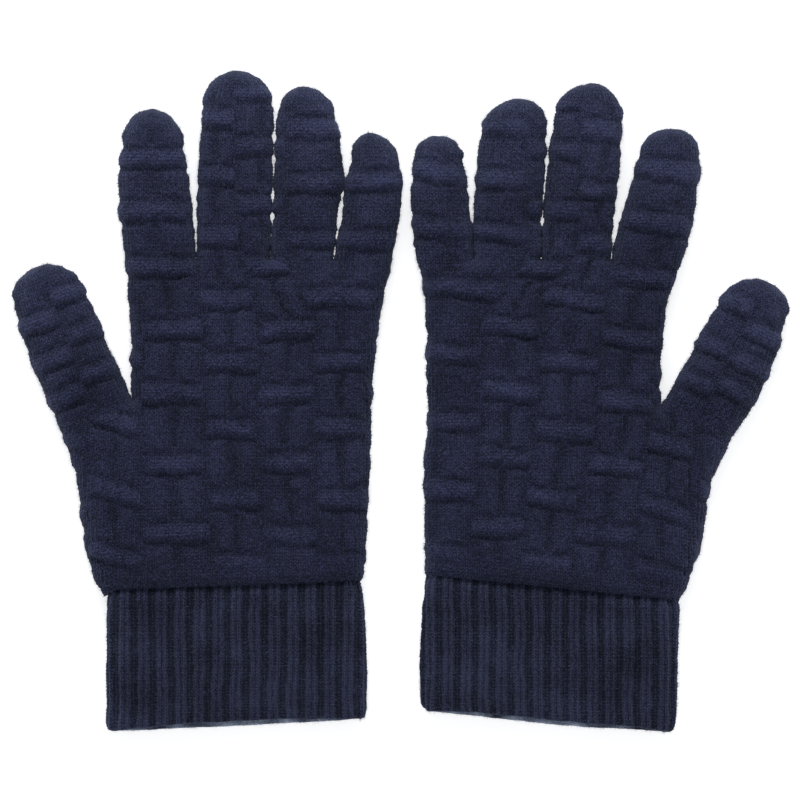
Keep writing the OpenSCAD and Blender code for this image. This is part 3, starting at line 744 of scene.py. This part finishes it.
def make_hand(side, G):
    flip = G["flip"]
    inner = spline([r[0] for r in G["inner"]], [r[1] for r in G["inner"]])
    outer = spline([r[0] for r in G["outer"]], [r[1] for r in G["outer"]])
    right = spline([r[0] for r in G["right"]], [r[1] for r in G["right"]])
    cx, cy = G["crotch"]
    y_low, lean = G["low"]
    rx, ry, ang, half_w = G["root"]
    tan = math.tan(math.radians(ang))
    sx0, sy0 = G["seam_low"]

    def seam(y):
        return cx + (sx0 - cx) * (np.asarray(y, float) - cy) / (sy0 - cy)

    up = np.linspace(cy, 54.0, int(round((54.0 - cy) / DY)) + 1)
    down = np.linspace(y_low, cy, int(round((cy - y_low) / DY)) + 1)
    mid_x = (G["outer"][0][1] + G["right"][0][1]) / 2
    G_lean = lean            # in this frame both hands' low ends rise away from the thumb

    def row_y(yr, x):
        # the rows lean only near the cuff
        lean_at = yr + G_lean * smooth(-30, y_low + 2, yr) * (x - mid_x)
        by, x_in, x_out = G["droop"]
        return lean_at - by * smooth(x_in, x_out, x) * smooth(-50, y_low, yr)

    sheets = []

    # main part, from the seam or the index side to the little finger side
    ys = np.concatenate([down[:-1], up])
    xl = np.where(ys >= cy, inner(ys), seam(ys))
    end_l = np.where(ys >= cy, 1.0, 1 - smooth(0, 9, cy - ys))
    n = int(round((np.max(right(ys) - xl) + 7) / DX)) + 1
    # the right end lies where the leaning row meets the outline
    xr = right(ys)
    for _ in range(4):
        xr = right(row_y(ys, xr))
    off, arc, total = spread(n, xr - xl, np.full(len(ys), HAND_H), end_l, 1.0)
    x = xl[:, None] + off
    s = xl[:, None] + arc
    yr = np.repeat(ys[:, None], n, 1)
    y = row_y(yr, x)
    sil_l = (ys >= cy)
    sheets.append((x, y, s, yr, sil_l, np.ones(len(ys), bool)))

    # gusset, from the outline to the seam; its rows tilt with the thumb
    ys = down
    tilt = tan * smooth(y_low + 8, cy, ys) ** 0.6
    tilt[-1] = tan
    xs = seam(ys)
    ys_at = row_y(ys, xs)
    xo = outer(ys)
    for _ in range(60):
        yo = ys_at + tilt * (xo - xs) + (row_y(ys, xo) - row_y(ys, xs))
        xo = 0.5 * xo + 0.5 * outer(yo)
    xo[-1] = rx - half_w * math.cos(math.radians(ang))
    m = int(round((np.max(xs - xo) + 3.5) / DX)) + 1
    off, arc, total = spread(m, xs - xo, np.full(len(ys), HAND_H), 1.0, 0.0)
    gx_ = xo[:, None] + off
    gs = xo[:, None] + arc
    gyr = np.repeat(ys[:, None], m, 1)
    gy_ = ys_at[:, None] + tilt[:, None] * (gx_ - xs[:, None]) + (row_y(gyr, gx_) - ys_at[:, None])
    sheets.append((gx_, gy_, gs, gyr, np.ones(len(ys), bool), np.zeros(len(ys), bool)))

    pts, quads, ats, start = [], [], [], 0
    for x, y, s, yr, sil_l, sil_r in sheets:
        d, ux, uy = hand_fields(side, G, x, y)
        d[sil_l, 0] = 0
        d[sil_r, -1] = 0
        drop = G_lean * (x - mid_x)
        root_d = np.abs(-(x - rx) * math.sin(math.radians(ang)) + (y - ry) * math.cos(math.radians(ang)))
        root_d = np.where(x < cx, root_d, np.hypot(x - cx, y - cy))
        h, on, meso = hand_height(side, G, x, y, s, d, drop, root_d)
        # the palm stands a little higher than its edges
        reach = np.minimum(np.minimum(d, 54.0 - y), np.minimum(root_d, np.hypot(x - cx, y - cy)))
        crown = 1.2 * smooth(0, 20, reach)
        hh = np.full(x.shape, HAND_H)
        low = smooth(9, 0, y - (y_low + drop))
        hh = hh - (HAND_H - CUFF_H) * low * 0.6
        top, bot = both_sides(x, y, d, ux, uy, hh, crown, h, 1, 1)
        bot[..., 2] = np.maximum(bot[..., 2], 0.02)
        # the fourth value paints highlight on the raised bars and shade in the grooves
        at = np.stack([flip * s, yr, on, 0.5 + 0.45 * meso, np.zeros(x.shape)], -1)
        r, c = x.shape
        boxes = ((0, 0, 0.41, 1), (0.42, 0, 0.83, 1)) if r > len(down) else ((0.84, 0, 1, 0.49), (0.84, 0.51, 1, 1))
        for sheet, turn, box in ((top, False, boxes[0]), (bot, True, boxes[1])):
            q = grid_quads(r, c, start)
            if turn:
                q = q[:, ::-1]
            full = np.concatenate([at, flat_map(r, c, box)], -1)
            pts.append(sheet.reshape(-1, 3))
            ats.append(full.reshape(-1, full.shape[-1]))
            quads.append(q)
            start += r * c
    ob = make_mesh(f"{side}_knit_hand", np.concatenate(pts), np.concatenate(quads), np.concatenate(ats), MAT_HAND, flip)
    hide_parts(f"{side}_hand", f"{side}_thumb_gusset")
    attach(ob, f"{side}_hand")
    return ob


# ----------------------------------------------------------------------------
# The cuff: a ribbed tube with an inside, and its cast-on edge
# ----------------------------------------------------------------------------
def make_cuff(side, G):
    flip = G["flip"]
    rows = G["cuff"]
    fl = spline([r[0] for r in rows], [r[1] for r in rows])
    fr = spline([r[0] for r in rows], [r[2] for r in rows])
    fs = spline([r[0] for r in rows], [r[3] for r in rows])
    y_top = rows[-1][0]
    y_hem = rows[0][0] + 3.4
    y_end = rows[0][0] + 0.2
    phase, pitch = G["rib"]
    n = int(round((max(r[2] - r[1] for r in rows) + 7) / DX)) + 1

    def ring(ys, inset, box=(0, 0, 1, 1)):
        width = fr(ys) - fl(ys)
        half = np.full(len(ys), CUFF_H)
        half = half + 0.3 * smooth(8, 0, y_top - ys)
        k = np.clip((y_end + 4.2 - ys) / 4.2, 0, 1)
        pull = 2.0 * (1 - np.sqrt(1 - 0.93 * k * k))       # the lower corners are rounded
        off, arc, total = spread(n, width - 2 * pull, half)
        x = (fl(ys) + pull)[:, None] + off
        s = (fl(ys) + pull)[:, None] + arc
        mid = ((fl(ys) + fr(ys)) / 2)[:, None]
        y = ys[:, None] + fs(ys)[:, None] * (x - mid)
        hg = np.repeat(half[:, None], n, 1)
        dl, dr = x - (fl(ys) + pull)[:, None], (fr(ys) - pull)[:, None] - x
        d = np.minimum(dl, dr)
        gx = np.where(dl < dr, 1.0, -1.0)
        gy = np.zeros(x.shape)
        d[:, 0] = 0
        d[:, -1] = 0
        ws = flip * s
        f = ((ws - phase) / pitch + 0.07 * noise(ws, y, 13, 2) + 0.03 * noise(ws, y, 3.5, 3)) % 1
        f = np.minimum(f, 1 - f) * 2              # 0 in a furrow, 1 in the middle of a rib
        rib = smooth(0.30, 0.62, f)
        over = y_top - ys[:, None] + 0 * x
        deep = 0.75 + 0.35 * smooth(0, 14, over)
        rib_h = (rib - 0.55) * 1.35 * deep
        two = -0.55 * np.exp(-((f - 1.0) / 0.17) ** 2)    # the line between a rib's two columns
        lump = 0.35 * noise(ws, y, 13, 5) + 0.15 * noise(ws, y, 4.2, 6)
        side_w = (1 - f) * pitch / 2 / WALE                # half a column from the line, so the Vs sit on the rib
        v = np.cos(2 * math.pi * (y / COURSE + 1.1 * np.abs(side_w - 0.5))) * 0.11 * (0.4 + 0.6 * rib)
        v = v + 0.12 * noise(ws, y, 1.4, 1) + 0.10 * noise(ws, y, 0.75, 2)
        soft = 0.35 + 0.65 * smooth(0, 4, d)
        crease = -2.0 * np.exp(-(np.maximum(over, 0) / 2.4) ** 2) * soft
        h = rib_h + two * rib + lump + v + crease - inset
        top, bot = both_sides(x, y, d, gx, gy, hg, np.zeros(x.shape), h, 1, 1)
        # the back layer hangs a little lower than the front
        t = smooth(y_hem + 14, y_end, ys)[:, None]
        q = np.clip(d / hg, 0, 1)
        p = np.sqrt(np.clip(1 - (1 - q) ** 2, 0, 1))
        wave = 0.8 + 0.45 * noise(ws, 0 * ws, 22, 4) + 0.15 * noise(ws, 0 * ws, 4, 1)
        along_x = (x - (fl(ys) + pull)[:, None]) / np.maximum((width - 2 * pull)[:, None], 1)
        shape = np.sin(math.pi * np.clip(along_x, 0, 1)) ** 0.6
        top[..., 1] += 1.5 * t * p * shape * wave
        bot[..., 1] -= 1.0 * t * p * shape * (1.6 - wave)
        bot[..., 2] = np.maximum(bot[..., 2], 0.02 + inset)
        turn = ((ws - phase) / pitch) % 1
        col = (turn - 0.5) * pitch
        # the fourth value paints highlight on the ribs and shade in the furrows and on the line between a rib's two
        # columns
        at = np.stack([col, y, 0.55 * (1 - rib), 0.5 + 0.75 * (rib - 0.6) + two, np.zeros(x.shape)], -1)
        return tube_points(top, bot, at, box)

    # ribbed part, outside and inside
    ys = np.linspace(y_hem, y_top + 1.0, int(round((y_top + 1.0 - y_hem) / DY)) + 1)
    po, qo, ao = ring(ys, 0.0, (0, 0, 1, 0.6))
    yi = np.linspace(y_hem, y_top - 3.0, int(round((y_top - 3.0 - y_hem) / 0.6)) + 1)
    pi, qi, ai = ring(yi, 1.7, (0, 0.62, 1, 1))
    pts = np.concatenate([po, pi])
    quads = np.concatenate([qo, qi[:, ::-1] + len(po)])
    ob = make_mesh(f"{side}_rib_cuff", pts, quads, np.concatenate([ao, ai]), MAT_CUFF, flip)
    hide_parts(f"{side}_cuff")
    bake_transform(ob)

    # cast-on edge: outside, rounded lip, inside
    ys = np.concatenate([np.linspace(y_hem + 0.5, y_end + 0.9, 8), y_end + 0.9 - 0.9 * np.sin(np.linspace(0.2, math.pi / 2, 5))])
    inset = np.concatenate([np.zeros(8), 0.85 * (1 - np.cos(np.linspace(0.2, math.pi / 2, 5)))])
    back_y = ys[::-1][1:]
    back_i = 1.7 - inset[::-1][1:]
    all_y, all_i = np.concatenate([ys, back_y]), np.concatenate([inset, back_i])
    parts = []
    for i, (yy, ii) in enumerate(zip(all_y, all_i)):
        p, _, a = ring(np.array([yy]), ii)
        v = i / (len(all_y) - 1)
        a[:, 6] = v * FLAT_TOP
        # painted light: the cast-on edge gets a high nap value, highest on its lower layer, so its colour turns pale
        # blue like a backlit glow though it lies in shade
        low_side = p[:, 2] < CUFF_H
        uneven = 0.75 + 0.5 * noise(p[:, 0], p[:, 1], 6, 3)
        a[:, 4] = np.where(low_side, 2.7 * smooth(0.40, 0.6, v), 1.7 * smooth(0.3, 0.5, v)) * uneven
        parts.append((p, a))
    mm = len(parts[0][0])
    pts = np.concatenate([k[0] for k in parts])
    ats = np.concatenate([k[1] for k in parts])
    q = grid_quads(len(parts), mm)[:, ::-1]
    ob = make_mesh(f"{side}_cast_on_edge", pts, q, ats, MAT_CUFF, flip)
    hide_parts(f"{side}_cuff_edge")
    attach(ob, f"{side}_cuff")


MAT_TIP_GRAD = MAT_TIP_NAP_AND_LIGHT
for side, G in GLOVES.items():
    make_hand(side, G)
    make_fingers(side, G)
    make_thumb(side, G)
    make_cuff(side, G)

# ----------------------------------------------------------------------------
# Floor, light, camera
# ----------------------------------------------------------------------------
scene = bpy.context.scene
scene.view_settings.view_transform = "Standard"
scene.view_settings.look = "None"
scene.view_settings.exposure = 0.0

me = bpy.data.meshes.new("floor")
R = 2.5
me.from_pydata([(-R, -R, -0.0002), (R, -R, -0.0002), (R, R, -0.0002), (-R, R, -0.0002)], [], [(0, 1, 2, 3)])
floor = bpy.data.objects.new("floor", me)
scene.collection.objects.link(floor)
fm = bpy.data.materials.new("pale_floor")
fm.use_nodes = True
fb = fm.node_tree.nodes["Principled BSDF"]
fb.inputs["Base Color"].default_value = (0.92, 0.92, 0.92, 1)
fb.inputs["Roughness"].default_value = 0.9
fb.inputs["Specular IOR Level"].default_value = 0.1
fb.inputs["Emission Color"].default_value = (1, 1, 1, 1)
fb.inputs["Emission Strength"].default_value = 0.70
me.materials.append(fm)

world = bpy.data.worlds.new("studio")
world.use_nodes = True
world.node_tree.nodes["Background"].inputs["Color"].default_value = (0.93, 0.96, 1.0, 1)
world.node_tree.nodes["Background"].inputs["Strength"].default_value = 0.38
scene.world = world


def area(name, loc, target, size, power, colour=(1, 1, 1)):
    ld = bpy.data.lights.new(name, "AREA")
    ld.shape = "RECTANGLE"
    ld.size, ld.size_y = size
    ld.energy = power
    ld.color = colour
    lo = bpy.data.objects.new(name, ld)
    lo.location = loc
    from mathutils import Vector
    lo.rotation_euler = (Vector(target) - Vector(loc)).to_track_quat("-Z", "Y").to_euler()
    scene.collection.objects.link(lo)


area("key", (-0.15, 1.15, 0.75), (0, 0, 0), (1.0, 0.5), 8.1)
area("fill", (0.3, -0.9, 0.9), (0, 0, 0), (1.0, 0.6), 0.95)

cam_data = bpy.data.cameras.new("camera")
cam = bpy.data.objects.new("camera", cam_data)
scene.collection.objects.link(cam)
scene.camera = cam
DIST = 2.4
WIDE = 800 * 0.378 * 0.001            # what the picture shows at the gloves, metres
cam_data.sensor_width = 36.0
cam_data.lens = 36.0 * (DIST - 0.006) / WIDE
cam_data.clip_start, cam_data.clip_end = 0.05, 20
cam.location = (-0.5 * 0.378 * 0.001, 1.5 * 0.378 * 0.001, DIST)
cam.rotation_euler = (0, 0, 0)
